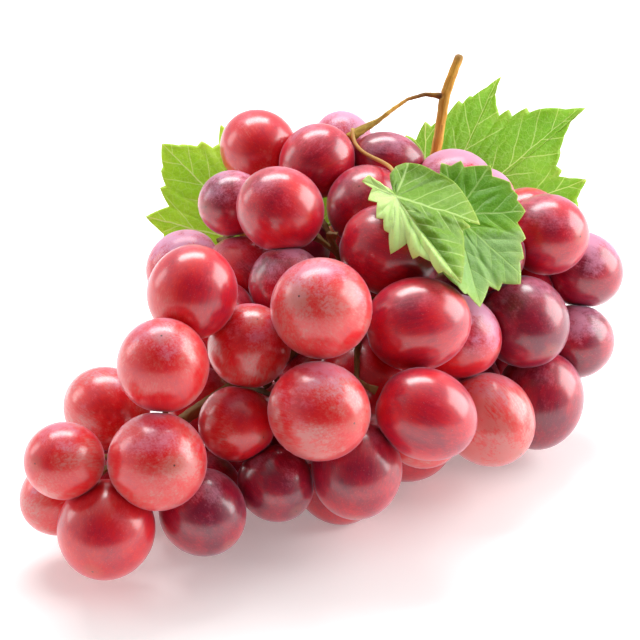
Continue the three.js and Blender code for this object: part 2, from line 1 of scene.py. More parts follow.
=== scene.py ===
import math

import bpy
import numpy as np
from mathutils import Matrix, Vector
from mathutils.bvhtree import BVHTree


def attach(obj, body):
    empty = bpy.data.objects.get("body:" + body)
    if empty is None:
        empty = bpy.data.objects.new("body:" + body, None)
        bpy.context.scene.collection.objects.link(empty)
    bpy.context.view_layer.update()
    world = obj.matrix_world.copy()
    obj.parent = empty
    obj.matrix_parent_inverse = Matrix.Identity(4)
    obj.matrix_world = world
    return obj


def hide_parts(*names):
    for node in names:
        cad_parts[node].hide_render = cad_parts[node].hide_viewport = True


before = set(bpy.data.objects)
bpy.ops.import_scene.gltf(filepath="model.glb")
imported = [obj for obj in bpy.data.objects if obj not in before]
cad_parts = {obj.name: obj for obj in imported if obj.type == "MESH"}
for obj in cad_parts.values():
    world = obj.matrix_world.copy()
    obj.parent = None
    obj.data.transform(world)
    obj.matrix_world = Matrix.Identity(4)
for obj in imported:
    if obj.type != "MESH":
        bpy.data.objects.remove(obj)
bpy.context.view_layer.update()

# The eye. The bunch lies on a table and is seen from its tip's left, a little from above.
# Pieces that show from there are laid out by the column and row of a square picture and
# their height over the table, as the solids are.

PICTURE = 640
EYE_TURN = math.radians(-44)
EYE_ELEVATION = math.radians(27)
EYE_DISTANCE = 0.62
FOCAL_LENGTH = 2270  # in columns
AIM = np.array((-0.0009, 0.004, 0.038))
SENSOR_WIDTH = 36

level = math.cos(EYE_ELEVATION)
away = np.array((-math.sin(EYE_TURN) * level, math.cos(EYE_TURN) * level, -math.sin(EYE_ELEVATION)))
right = np.array((math.cos(EYE_TURN), math.sin(EYE_TURN), 0))
upward = np.cross(right, away)
eye = AIM - away * EYE_DISTANCE


def sight(column, row):
    """The direction of the line from the eye through a place in the picture."""
    line = away + right * ((column - PICTURE / 2) / FOCAL_LENGTH)
    line = line + upward * ((PICTURE / 2 - row) / FOCAL_LENGTH)
    return line / np.linalg.norm(line)


def seen_at(column, row, height_mm):
    """The point that is seen at a place in the picture, so high over the table."""
    line = sight(column, row)
    return eye + line * ((height_mm / 1000 - eye[2]) / line[2])


def picture_place(point):
    """The column and row at which a point is seen."""
    offset = point - eye
    depth = offset @ away
    return np.array((
        PICTURE / 2 + FOCAL_LENGTH * (offset @ right) / depth,
        PICTURE / 2 - FOCAL_LENGTH * (offset @ upward) / depth,
    ))


camera_lens = bpy.data.cameras.new("camera")
camera_lens.sensor_width = SENSOR_WIDTH
camera_lens.lens = FOCAL_LENGTH / PICTURE * SENSOR_WIDTH
camera = bpy.data.objects.new("camera", camera_lens)
bpy.context.scene.collection.objects.link(camera)
camera.matrix_world = Matrix((*np.column_stack((right, upward, -away, eye)).tolist(), (0, 0, 0, 1)))
bpy.context.scene.camera = camera

# The stem. The woody stalk was cut from the vine, forks once and runs on through the bunch.
# Thin pedicels leave it and flare where each one holds its berry. It is all one growth: brown
# bark on the stalk, greener where it is young.

STEM_VOXEL = 0.00033
STEM_SMOOTHING = 5
STEM_SWELL = 0.00012  # what the smoothing takes off
STALK_SWELL = 0.00018  # of the bare stalk
STALK_REACH = 0.003
CUT_SWELL = 0.0003  # towards the cut end
CUT_SWELL_REACH = 0.012
OUTSIDE_REACH = 0.004  # round the lines of the stalk and its arm, past which the stem is inside
INSIDE_YOUTH = 0.45
KNOB_HEIGHT = 0.00006
KNOB_SIZE = 0.0021
FORK = seen_at(444.7, 96.5, 88)
FORK_REACH = 0.0042
ARM_DARK = seen_at(422, 95.5, 88.4)
ARM_DARK_REACH = 0.0055
ARM_DARKNESS = 0.8
ARM_EDGE = 0.0003  # so much nearer to the arm's line than to the stalk's
GRAIN_STRETCH = 0.88  # share of the way along the stalk that the grain leaves out
KNOB = seen_at(356, 131, 82.3)
KNOB_REACH = 0.0125
CUT_END = seen_at(459.3, 56.5, 98)
CUT_REACH = 0.0016
STALK_LINE = [CUT_END, seen_at(451.5, 77, 93), FORK, seen_at(440.5, 124, 81), seen_at(435.5, 154, 73)]
ARM_LINE = [
    FORK, seen_at(420, 95, 88.4), seen_at(399, 104.5, 86.9), seen_at(386, 115, 84.9),
    seen_at(374, 123.5, 83.4), seen_at(363, 129, 82.5), seen_at(352, 132.5, 82.1),
    seen_at(348, 139, 80.7),
]


class Wire:
    """A socket in a material, with arithmetic that adds the nodes for it."""

    def __init__(self, tree, socket=None):
        self.tree = tree
        self.socket = socket

    def node(self, kind, settings=(), values=(), output=0):
        """Adds a node: its settings first, then the values or links of its sockets."""
        node = self.tree.nodes.new(kind)
        for name, value in dict(settings).items():
            if name == "stops":
                elements = node.color_ramp.elements
                while len(elements) < len(value):
                    elements.new(1)
                for element, (place, color) in zip(elements, value):
                    element.position = place
                    element.color = (*color, 1)
            else:
                setattr(node, name, value)
        for name, value in dict(values).items():
            if isinstance(value, Wire):
                self.tree.links.new(value.socket, node.inputs[name])
            else:
                node.inputs[name].default_value = value
        return Wire(self.tree, node.outputs[output])

    def math(self, operation, *values):
        return self.node("ShaderNodeMath", {"operation": operation}, enumerate(values))

    def __add__(self, other):
        return self.math("ADD", self, other)

    def __sub__(self, other):
        return self.math("SUBTRACT", self, other)

    def __rsub__(self, other):
        return self.math("SUBTRACT", other, self)

    def __mul__(self, other):
        return self.math("MULTIPLY", self, other)

    def __truediv__(self, other):
        return self.math("DIVIDE", self, other)

    __radd__ = __add__
    __rmul__ = __mul__

    def attribute(self, name, output="Vector"):
        return self.node("ShaderNodeAttribute", {"attribute_name": name}, (), output)

    def step(self, low, high):
        """0 below low and 1 above high, with an easy rise between them."""
        values = {"Value": self, "From Min": low, "From Max": high}
        return self.node("ShaderNodeMapRange", {"interpolation_type": "SMOOTHSTEP"}, values)

    def noise(self, scale, detail=3.0, roughness=0.5):
        values = {"Vector": self, "Scale": scale, "Detail": detail, "Roughness": roughness}
        return self.node("ShaderNodeTexNoise", (), values)

    def stretch(self, *factors):
        return self.node("ShaderNodeVectorMath", {"operation": "MULTIPLY"}, {0: self, 1: factors})

    def shift(self, other):
        return self.node("ShaderNodeVectorMath", {"operation": "ADD"}, {0: self, 1: other})

    def mix(self, first, second):
        """From the first colour to the second as this goes from 0 to 1."""
        return self.node("ShaderNodeMix", {"data_type": "RGBA"}, {0: self, 6: first, 7: second}, 2)

    def ramp(self, *stops):
        return self.node("ShaderNodeValToRGB", {"stops": stops}, {"Fac": self})

    def bump(self, strength, distance):
        values = {"Strength": strength, "Distance": distance, "Height": self}
        return self.node("ShaderNodeBump", (), values)


def finish_of(name, **uniform):
    """A new material's tree and the sockets of its surface, with its uniform values set."""
    material = bpy.data.materials.new(name)
    material.use_nodes = True
    surface = material.node_tree.nodes["Principled BSDF"]
    for socket, value in uniform.items():
        surface.inputs[socket.replace("_", " ")].default_value = value
    return material, Wire(material.node_tree), surface.inputs


def connect(wire, socket):
    wire.tree.links.new(wire.socket, socket)


def welded(node):
    """A solid's corners and triangles, with the doubled corners merged."""
    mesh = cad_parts[node].data
    mesh.calc_loop_triangles()
    corners = np.empty(len(mesh.vertices) * 3, np.float32)
    mesh.vertices.foreach_get("co", corners)
    triangles = np.empty(len(mesh.loop_triangles) * 3, np.int32)
    mesh.loop_triangles.foreach_get("vertices", triangles)
    corners = corners.reshape(-1, 3).astype(float)
    _, first, merged = np.unique(
        np.round(corners * 1e6).astype(int), axis=0, return_index=True, return_inverse=True
    )
    triangles = merged.ravel()[triangles].reshape(-1, 3)
    whole = (triangles != np.roll(triangles, 1, axis=1)).all(axis=1)
    return corners[first], triangles[whole]


def new_piece(name, mesh, material):
    piece = bpy.data.objects.new(name, mesh)
    bpy.context.scene.collection.objects.link(piece)
    mesh.materials.clear()
    mesh.materials.append(material)
    mesh.polygons.foreach_set("use_smooth", np.ones(len(mesh.polygons), bool))
    return piece


def applied(piece):
    """The piece's mesh as its modifiers make it, with the modifiers gone."""
    evaluated = piece.evaluated_get(bpy.context.evaluated_depsgraph_get())
    mesh = bpy.data.meshes.new_from_object(evaluated)
    piece.modifiers.clear()
    piece.data = mesh
    return mesh


def corners_of(mesh):
    corners = np.empty(len(mesh.vertices) * 3)
    mesh.vertices.foreach_get("co", corners)
    return corners.reshape(-1, 3)


def normals_of(mesh):
    normals = np.empty(len(mesh.vertices) * 3)
    mesh.vertex_normals.foreach_get("vector", normals)
    return normals.reshape(-1, 3)


def note(mesh, name, values, domain="POINT"):
    """Writes a value or a vector for every point, or corner, of a mesh."""
    values = np.asarray(values, np.float32)
    kind, key = ("FLOAT_VECTOR", "vector") if values.ndim == 2 else ("FLOAT", "value")
    mesh.attributes.new(name, kind, domain).data.foreach_set(key, values.ravel())


def lumps(points, size, seed):
    """Smooth seeded lumps between about -1 and 1, so many metres across."""
    draw = np.random.default_rng(seed)
    total = np.zeros(len(points))
    for wave in draw.normal(size=(9, 3)):
        total += np.sin(points @ (wave * 2 / size) + draw.uniform(0, 2 * math.pi))
    return total / 3


def closeness(points, place, reach):
    """1 at a place, falling off with the distance from it."""
    return np.exp(-(((points - place) ** 2).sum(axis=1)) / reach**2)


def along_line(points, line):
    """The direction of a line at each point's nearest place on it, and the distance to it."""
    best = np.full(len(points), np.inf)
    direction = np.zeros((len(points), 3))
    for start, end in zip(line, line[1:]):
        run = end - start
        share = np.clip((points - start) @ run / (run @ run), 0, 1)
        distance = np.linalg.norm(points - start - share[:, None] * run, axis=1)
        nearer = distance < best
        best[nearer] = distance[nearer]
        direction[nearer] = run / np.linalg.norm(run)
    return direction, best


def bark():
    material, wire, surface = finish_of(
        "bark", Specular_IOR_Level=0.35, Subsurface_Weight=0.08, Subsurface_Scale=0.001,
        Subsurface_Radius=(1, 0.6, 0.3),
    )
    grain = wire.attribute("grain")
    young = wire.attribute("young", "Fac")
    fork = wire.attribute("fork", "Fac")
    cut = wire.attribute("cut", "Fac")
    fibre = grain.noise(1500, 4, 0.6)
    patch = grain.noise(260, 2)
    dots = grain.noise(900, 1).step(0.62, 0.72)
    woody = (fibre * 0.55 + patch * 0.45).ramp(
        (0.3, (0.38, 0.15, 0.016)), (0.48, (0.7, 0.35, 0.035)), (0.68, (0.85, 0.52, 0.11))
    )
    green = (fibre * 0.5 + patch * 0.5).ramp(
        (0.3, (0.18, 0.08, 0.006)), (0.5, (0.37, 0.22, 0.016)), (0.7, (0.58, 0.41, 0.06))
    )
    color = (young + (patch - 0.5) * 0.5).step(0.25, 0.75).mix(woody, green)
    # the stem inside the bunch is painted near black: painted shade between the berries
    color = (wire.attribute("inside", "Fac") * 0.85).mix(color, (0.1, 0.05, 0.015, 1))
    color = (fork * 0.95).mix(color, (0.095, 0.026, 0.013, 1))
    color = (dots * 0.3).mix(color, (0.1, 0.05, 0.02, 1))
    color = cut.mix(color, (0.2, 0.13, 0.08, 1))
    connect(color, surface["Base Color"])
    connect(0.5 + fibre * 0.3, surface["Roughness"])
    connect((fibre + patch * 0.6).bump(0.5, 0.0004), surface["Normal"])
    return material


stem_corners, stem_triangles = welded("stem")
stem_mesh = bpy.data.meshes.new("stem_growth")
stem_mesh.from_pydata(stem_corners.tolist(), [], stem_triangles.tolist())
stem = new_piece("stem_growth", stem_mesh, bark())
rounding = stem.modifiers.new("rounding", "REMESH")
rounding.mode = "VOXEL"
rounding.voxel_size = STEM_VOXEL
easing = stem.modifiers.new("easing", "SMOOTH")
easing.factor = 0.5
easing.iterations = STEM_SMOOTHING
stem_mesh = applied(stem)
stem_points = corners_of(stem_mesh)
stem_normals = normals_of(stem_mesh)
stalk_way, stalk_distance = along_line(stem_points, STALK_LINE)
arm_way, arm_distance = along_line(stem_points, ARM_LINE)
on_thick = (stalk_distance < arm_distance) & (stalk_distance < STALK_REACH)
swell = STEM_SWELL + KNOB_HEIGHT * lumps(stem_points, KNOB_SIZE, 3)
swell += on_thick * (STALK_SWELL + CUT_SWELL * closeness(stem_points, CUT_END, CUT_SWELL_REACH))
stem_points = stem_points + stem_normals * swell[:, None]
stem_mesh.vertices.foreach_set("co", stem_points.ravel())
stem_mesh.polygons.foreach_set("use_smooth", np.ones(len(stem_mesh.polygons), bool))

way = np.where((stalk_distance < arm_distance)[:, None], stalk_way, arm_way)
run = ((stem_points - FORK) * way).sum(axis=1)
note(stem_mesh, "grain", stem_points - way * (GRAIN_STRETCH * run)[:, None])
on_stalk = np.minimum(stalk_distance, arm_distance) < OUTSIDE_REACH
young = np.where(on_stalk, closeness(stem_points, KNOB, KNOB_REACH), INSIDE_YOUTH)
note(stem_mesh, "young", young)
# where the stem runs inside the bunch, which the bark paints near black as painted shade
note(stem_mesh, "inside", ~on_stalk)
fork = closeness(stem_points, FORK, FORK_REACH) * (arm_distance < stalk_distance - ARM_EDGE)
fork = np.maximum(fork, ARM_DARKNESS * closeness(stem_points, ARM_DARK, ARM_DARK_REACH))
note(stem_mesh, "fork", np.clip(fork, 0, 1))
note(stem_mesh, "cut", closeness(stem_points, CUT_END, CUT_REACH))
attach(stem, "root")
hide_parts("stem")

# The berries. Each is a water-filled globe in a thin, tight skin, a little longer than wide,
# hanging by one end on its pedicel, with the dry scar of the flower at the other. Neighbours
# press each other flat, and a pale waxy bloom lies on the skin where nothing has rubbed it.
# The bloom is painted on more thickly where the skin faces up, as a painted highlight.

BERRY_SIDES = 40
BERRY_RINGS = 26
FACET_GROWTH = 1.03  # size of the faceted solid's corners over the smooth skin
CREASE = 0.05  # sine of the angle from which a hollow edge parts two berries
LEAST_SIZE = 0.0075
MOST_SIZE = 0.0152
LONGEST = 1.4  # half length over half width
SAME_BERRY = 0.007
TOUCH_GAP = 0.00003
TOUCH_EASE = 0.00022
STALK_HOLLOW = 0.05  # in half widths
STALK_HOLLOW_WIDTH = 0.17
FAR_END_TAPER = 0.025
TONES = {  # ripeness of the skin, from dark to pale, and how much bloom lies on it
    "plum": (0.13, 0.6),
    "violet": (0.2, 1.2),
    "garnet": (0.3, 0.2),
    "ruby": (0.44, 0.15),
    "crimson": (0.46, 0.48),
    "mauve": (0.52, 1.55),
    "scarlet": (0.63, 0.25),
    "rose": (0.8, 0.75),
    "amber": (0.9, 0.4),
}
TONE_PLACES = {  # berries in view, by the column and row of their middle
    "plum": [(388, 162), (524, 322), (203, 512.5), (276, 483.5), (539, 400)],
    "violet": [(231.5, 203.5), (287, 285), (576, 341), (582.5, 270)],
    "garnet": [(367.5, 206), (391, 250), (339, 478), (356.5, 470.5), (405, 436)],
    "crimson": [(280, 209.5), (317, 161.5), (243, 273), (547.5, 234.5), (527, 221)],
    "ruby": [(418, 324), (426.5, 414.5)],
    "mauve": [(343, 142.5), (184, 267), (453.5, 190), (484.5, 197.5), (457.5, 336.5)],
    "scarlet": [(192.5, 292), (200, 405), (106, 530), (237, 424), (258.5, 148.5)],
    "rose": [(321, 308), (319.5, 411.5), (157.5, 461.5), (64, 461), (61, 496), (163, 365),
             (106.5, 409), (249.5, 345.5)],
    "amber": [(424, 431), (489, 420)],
}
TONE_REACH = 6  # columns
# tones of the berries out of view: darker ones only, as painted shade where they show through gaps
DARK_TONES_FOR_SHADE = ["plum", "garnet", "garnet", "crimson"]
BERRY_SEED = 12


def patches_of(corners, triangles):
    """Each berry's own part of the fused surface: its triangles, found between hollow edges."""
    a, b, c = (corners[triangles[:, k]] for k in range(3))
    normals = np.cross(b - a, c - a)
    normals /= np.maximum(np.linalg.norm(normals, axis=1), 1e-15)[:, None]
    count = len(corners)
    start = triangles.ravel()
    end = np.roll(triangles, -1, axis=1).ravel()
    face = np.repeat(np.arange(len(triangles)), 3)
    order = np.argsort(start * count + end)
    keys = (start * count + end)[order]
    back = np.clip(np.searchsorted(keys, end * count + start), 0, len(keys) - 1)
    other = face[order[back]]
    edge = corners[end] - corners[start]
    edge /= np.maximum(np.linalg.norm(edge, axis=1), 1e-15)[:, None]
    bend = (np.cross(normals[face], normals[other]) * edge).sum(axis=1)
    hollow = bend < -CREASE
    group = np.arange(len(triangles))

    def root(item):
        while group[item] != item:
            group[item] = group[group[item]]
            item = group[item]
        return item

    for one, two in zip(face[~hollow], other[~hollow]):
        group[root(one)] = root(two)
    creased = np.zeros(count, bool)
    creased[start[hollow]] = True
    creased[end[hollow]] = True
    clear = ~creased & (corners[:, 2] > 1e-5)
    owners = np.array([root(item) for item in range(len(triangles))])
    for owner in np.unique(owners):
        members = np.unique(triangles[owners == owner])
        yield corners[members[clear[members]]]


def ball_through(points):
    """Centre and radius of the ball that fits points best."""
    middle = points.mean(axis=0)
    offset = points - middle
    terms = np.column_stack((2 * offset, np.ones(len(offset))))
    answer = np.linalg.lstsq(terms, (offset**2).sum(axis=1), rcond=None)[0]
    return middle + answer[:3], math.sqrt(max(answer[3] + answer[:3] @ answer[:3], 0))


def egg_through(points):
    """Centre, long axis, half width and half length of the egg round that fits points, or None."""
    middle = points.mean(axis=0)
    x, y, z = ((points - middle) * 1000).T
    terms = np.column_stack((x * x, y * y, z * z, 2 * x * y, 2 * x * z, 2 * y * z, 2 * x, 2 * y, 2 * z))
    answer, _, rank, _ = np.linalg.lstsq(terms, np.ones(len(points)), rcond=1e-7)
    if rank < 9:
        return None
    form = answer[[0, 3, 4, 3, 1, 5, 4, 5, 2]].reshape(3, 3)
    centre = -np.linalg.solve(form, answer[6:])
    values, axes = np.linalg.eigh(form / (1 + centre @ form @ centre))
    if values.min() <= 0:
        return None
    halves = 0.001 / np.sqrt(values)
    if halves.min() < LEAST_SIZE or halves.max() > MOST_SIZE or halves[0] > LONGEST * halves[2]:
        return None
    return middle + centre / 1000, axes[:, 0], (halves[1] + halves[2]) / 2, halves[0]


def halves_of(points):
    """The points of two berries that no crease parts, divided across their long way."""
    offset = points - points.mean(axis=0)
    beyond = offset @ np.linalg.svd(offset, full_matrices=False)[2][0] > 0
    return [points[beyond], points[~beyond]]


berry_corners, berry_triangles = welded("berries")
clusters = []
patches = sorted(patches_of(berry_corners, berry_triangles), key=len, reverse=True)
if ball_through(patches[0])[1] > MOST_SIZE:
    patches[:1] = halves_of(patches[0])
for patch in patches:
    if len(patch) < 5:
        continue
    centre, radius = ball_through(patch)
    if not LEAST_SIZE < radius < MOST_SIZE:
        continue
    near = [cluster for cluster in clusters if np.linalg.norm(cluster[0] - centre) < SAME_BERRY]
    if near:
        near[0][1].append(patch)
    else:
        clusters.append((centre, [patch]))

stem_tree = BVHTree.FromPolygons(stem_corners.tolist(), stem_triangles.tolist())
berries = []
for _, parts in clusters:
    points = np.concatenate(parts)
    egg = egg_through(points) if len(points) >= 12 else None
    if egg:
        centre, axis, half_width, half_length = egg
        ends = [centre + axis * half_length, centre - axis * half_length]
        near_end = min(ends, key=lambda end: stem_tree.find_nearest(Vector(end))[3])
        axis = (near_end - centre) / half_length
    else:
        centre, half_width = ball_through(points)
        half_length = half_width
        axis = np.array(stem_tree.find_nearest(Vector(centre))[0]) - centre
        axis /= np.linalg.norm(axis)
    berries.append((centre, axis, half_width / FACET_GROWTH, half_length / FACET_GROWTH))

draw = np.random.default_rng(BERRY_SEED)
tone_marks = [(np.array(place), word) for word, places in TONE_PLACES.items() for place in places]
berry_tones = []
for centre, *_ in berries:
    place = picture_place(centre)
    mark, word = min(tone_marks, key=lambda item: np.linalg.norm(item[0] - place))
    if np.linalg.norm(mark - place) > TONE_REACH:
        word = DARK_TONES_FOR_SHADE[draw.integers(len(DARK_TONES_FOR_SHADE))]
    ripeness, wax = TONES[word]
    berry_tones.append((ripeness + draw.uniform(-0.04, 0.04), wax * draw.uniform(0.85, 1.15)))


def berry_skin():
    material, wire, surface = finish_of(
        "berry_skin", Specular_IOR_Level=0.4, Coat_Roughness=0.21, Coat_IOR=1.75,
        Subsurface_Weight=0.3, Subsurface_Scale=0.004, Subsurface_Radius=(1, 0.2, 0.16),
        Sheen_Weight=0.42, Sheen_Roughness=0.28, Sheen_Tint=(0.9, 0.78, 1, 1),
    )
    skin = wire.attribute("skin")
    own = skin.shift(wire.attribute("own"))
    tone = wire.attribute("tone", "Fac")
    wax = wire.attribute("wax", "Fac")
    high = wire.node("ShaderNodeSeparateXYZ", (), {"Vector": skin}, "Z")
    patch = own.noise(1.1, 2) - 0.5
    mottle = own.noise(6, 5, 0.65) - 0.5
    grain = own.noise(24, 3, 0.65) - 0.5
    # fine streaks run from the stalk to the scar
    streak = own.stretch(1, 1, 0.13).noise(19, 4, 0.7) - 0.5
    ripe = tone + patch * 1.0 + mottle * 0.45 + streak * 0.65
    flesh = ripe.ramp(
        (0.0, (0.22, 0.002, 0.032)), (0.25, (0.42, 0.002, 0.03)), (0.48, (0.64, 0.002, 0.024)),
        (0.74, (0.8, 0.006, 0.01)), (0.9, (0.77, 0.075, 0.065)), (1.0, (0.73, 0.18, 0.165)),
    )
    # how far the skin faces up; it paints the tops paler as a painted highlight from above
    facing_up = wire.node(
        "ShaderNodeSeparateXYZ", (), {"Vector": wire.node("ShaderNodeNewGeometry", (), (), "Normal")}, "Z"
    )
    rubbed = own.noise(1.6, 3, 0.5) + mottle * 0.4 + grain * 0.25 + streak * 0.3
    # the bloom lies where nothing has rubbed it and is painted on more thickly on the faces turned up, which
    # is painted highlight
    bloom_and_top_highlight = (rubbed + facing_up * 0.42 + wax * 0.2 - 0.39).step(0.46, 0.82)
    bloom_film_and_top_highlight = bloom_and_top_highlight * (wax * 0.48 + facing_up.step(0.1, 0.95) * 0.15)
    specks = own.noise(44, 1).step(0.66, 0.74) * 0.16
    color = bloom_film_and_top_highlight.mix(flesh, (0.7, 0.33, 0.5, 1))
    color = specks.mix(color, (0.75, 0.5, 0.45, 1))
    scar = (0 - high).step(0.9982, 0.9992)
    halo = (0 - high).step(0.96, 0.9985) * 0.3
    color = halo.mix(color, (0.5, 0.16, 0.1, 1))
    color = (scar * 0.92).mix(color, (0.05, 0.02, 0.012, 1))
    connect(color, surface["Base Color"])
    connect(0.37 + bloom_film_and_top_highlight * 0.25 + grain * 0.25, surface["Roughness"])
    connect(0.7 - bloom_film_and_top_highlight * 0.5, surface["Coat Weight"])
    connect((streak * 0.5 + grain * 0.5 - scar * 2).bump(0.05, 0.0006), surface["Normal"])
    return material


def placing_rule():
    """One berry on every point, along its own axis and at its own size."""
    tree = bpy.data.node_groups.new("berry_placing", "GeometryNodeTree")
    sockets = {}
    for name, kind in (
        ("Points", "NodeSocketGeometry"), ("Sides", "NodeSocketInt"), ("Rings", "NodeSocketInt"),
        ("Skin", "NodeSocketMaterial"),
    ):
        sockets[name] = tree.interface.new_socket(name, in_out="INPUT", socket_type=kind).identifier
    tree.interface.new_socket("Berries", in_out="OUTPUT", socket_type="NodeSocketGeometry")

    def add(kind, settings=(), values=()):
        node = tree.nodes.new(kind)
        for name, value in dict(settings).items():
            setattr(node, name, value)
        for name, value in dict(values).items():
            if isinstance(value, bpy.types.NodeSocket):
                tree.links.new(value, node.inputs[name])
            else:
                node.inputs[name].default_value = value
        return node

    def named(name):
        settings = {"data_type": "FLOAT_VECTOR"}
        return add("GeometryNodeInputNamedAttribute", settings, {"Name": name}).outputs["Attribute"]

    given = tree.nodes.new("NodeGroupInput").outputs
    globe = add(
        "GeometryNodeMeshUVSphere", (),
        {"Segments": given["Sides"], "Rings": given["Rings"], "Radius": 1.0},
    )
    place = add("GeometryNodeInputPosition").outputs["Position"]
    kept = add(
        "GeometryNodeStoreNamedAttribute", {"data_type": "FLOAT_VECTOR", "domain": "POINT"},
        {"Geometry": globe.outputs["Mesh"], "Name": "skin", "Value": place},
    )
    turn = add("FunctionNodeAlignRotationToVector", {"axis": "Z"}, {"Vector": named("axis")})
    placed = add("GeometryNodeInstanceOnPoints", (), {
        "Points": given["Points"], "Instance": kept.outputs["Geometry"],
        "Rotation": turn.outputs["Rotation"], "Scale": named("size"),
    })
    real = add("GeometryNodeRealizeInstances", (), {"Geometry": placed.outputs["Instances"]})
    skinned = add(
        "GeometryNodeSetMaterial", (),
        {"Geometry": real.outputs["Geometry"], "Material": given["Skin"]},
    )
    result = tree.nodes.new("NodeGroupOutput")
    tree.links.new(skinned.outputs["Geometry"], result.inputs["Berries"])
    return tree, sockets


skin_material = berry_skin()
bunch_mesh = bpy.data.meshes.new("berry_bunch")
bunch_mesh.from_pydata([centre.tolist() for centre, *_ in berries], [], [])
note(bunch_mesh, "axis", [axis for _, axis, *_ in berries])
note(bunch_mesh, "size", [(wide, wide, long) for *_, wide, long in berries])
note(bunch_mesh, "tone", [tone for tone, _ in berry_tones])
note(bunch_mesh, "wax", [wax for _, wax in berry_tones])
note(bunch_mesh, "own", draw.uniform(-40, 40, (len(berries), 3)))
bunch = new_piece("berry_bunch", bunch_mesh, skin_material)
placing, placing_inputs = placing_rule()
rule = bunch.modifiers.new("placing", "NODES")
rule.node_group = placing
rule[placing_inputs["Sides"]] = BERRY_SIDES
rule[placing_inputs["Rings"]] = BERRY_RINGS
rule[placing_inputs["Skin"]] = skin_material
bunch_mesh = applied(bunch)

# each berry is hollowed round its pedicel and pressed flat where it meets others or the table
unit = np.empty(len(bunch_mesh.vertices) * 3, np.float32)
bunch_mesh.attributes["skin"].data.foreach_get("vector", unit)
unit = unit.reshape(len(berries), -1, 3)
berry_points = corners_of(bunch_mesh).reshape(len(berries), -1, 3)


def pressed(points, centre, direction, limit):
    """Points that reach past a plane, eased back onto it."""
    room = limit - (points - centre) @ direction
    eased = TOUCH_EASE * np.logaddexp(0, room / TOUCH_EASE)
    return points + direction * (room - eased)[:, None]


def reach_along(berry, direction):
    """How far a berry reaches from its middle in a direction."""
    _, axis, wide, long = berry
    share = (direction @ axis) ** 2
    return math.sqrt(wide**2 * (1 - share) + long**2 * share)


for i, berry in enumerate(berries):
    centre, axis, wide, long = berry
    middle_out = np.hypot(unit[i, :, 0], unit[i, :, 1])
    dip = STALK_HOLLOW * np.exp(-((middle_out / STALK_HOLLOW_WIDTH) ** 2)) * (unit[i, :, 2] > 0)
    offset = berry_points[i] - centre
    lengthwise = offset @ axis
    sideways = offset - lengthwise[:, None] * axis
    sideways *= (1 + FAR_END_TAPER * unit[i, :, 2])[:, None]
    points = centre + sideways + (lengthwise - dip * long)[:, None] * axis
    for j, other in enumerate(berries):
        apart = other[0] - centre
        distance = np.linalg.norm(apart)
        if j == i or distance > 2 * MOST_SIZE:
            continue
        direction = apart / distance
        overlap = reach_along(berry, direction) + reach_along(other, direction) - distance
        if overlap > 0:
            limit = reach_along(berry, direction) - overlap / 2 - TOUCH_GAP
            points = pressed(points, centre, direction, limit)
    berry_points[i] = pressed(points, centre, np.array((0, 0, -1.0)), centre[2])
bunch_mesh.vertices.foreach_set("co", berry_points.ravel())
for name in ("axis", "size"):
    bunch_mesh.attributes.remove(bunch_mesh.attributes[name])
bunch_mesh.polygons.foreach_set("use_smooth", np.ones(len(bunch_mesh.polygons), bool))
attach(bunch, "root")
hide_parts("berries")

# The leaves. A vine leaf is one thin, lobed and toothed blade on a round petiole, with a main
# vein to each lobe, branches that slant off it and a fine net between them. Two stand behind
# the bunch, and two small ones lie over its shoulder.

BLADE_THICKNESS = 0.00042
CAD_BLADE = 0.0008  # the solid blade's thickness along the line to the eye
TWIN_GRID = 2e4  # steps in a metre, to find a corner's twin on the other face
BLADE_RINGS = 36
EDGE_STEP = 0.7  # millimetres
FLANK_BULGE = 0.03
TIP_TURN = math.cos(math.radians(65))
TIP_PALE = 0.9  # millimetres
DEPTH_EASING = 14
PUCKER_START = 2.5  # millimetres from a main vein
PETIOLE_RADIUS = 0.00055
PETIOLE_SIDES = 12
PETIOLE_STEPS = 30
to_eye = -away


def leaf_outline(joint, edge):
    """The outline in millimetres round the joint, through its tips and notches as they are seen,
    and how near each of its points is to a tip."""
    scale = 1000 * ((seen_at(*joint) - eye) @ away) / FOCAL_LENGTH
    turns = scale * (np.array(edge) - joint[:2]) * (1, -1)
    sides = np.roll(turns, -1, 0) - turns
    lengths = np.linalg.norm(sides, axis=1)
    ways = sides / lengths[:, None]
    before = np.roll(ways, 1, 0)
    pointed = (before * ways).sum(axis=1) < TIP_TURN
    pointed &= before[:, 0] * ways[:, 1] > before[:, 1] * ways[:, 0]
    points, tips = [], []
    for start, side, length, tip, next_tip in zip(turns, sides, lengths, pointed, np.roll(pointed, -1)):
        outside = np.array((side[1], -side[0]))
        count = max(2, round(length / EDGE_STEP))
        for share in np.arange(count) / count:
            points.append(start + share * side + 4 * share * (1 - share) * FLANK_BULGE * outside)
            from_tip = tip * math.exp(-share * length / TIP_PALE)
            tips.append(max(from_tip, next_tip * math.exp((share - 1) * length / TIP_PALE)))
    return np.array(points), np.array(tips)


def eased_grid(values, known, rounds):
    """Values on a leaf's grid with the unknown ones filled in and all of them smoothed."""
    values = np.where(known, values, 0)
    weight = known.astype(float)

    def neighbours(grid):
        inner = np.vstack((grid[:1], grid[:-1]))
        outer = np.vstack((grid[1:], grid[-1:]))
        return inner + outer + np.roll(grid, 1, 1) + np.roll(grid, -1, 1)

    while weight.min() == 0:
        total, count = neighbours(values * weight), neighbours(weight)
        fresh = (weight == 0) & (count > 0)
        values[fresh] = total[fresh] / count[fresh]
        weight[fresh] = 1
    for _ in range(rounds):
        values = 0.4 * values + 0.15 * neighbours(values)
        values[0] = values[0].mean()
    return values


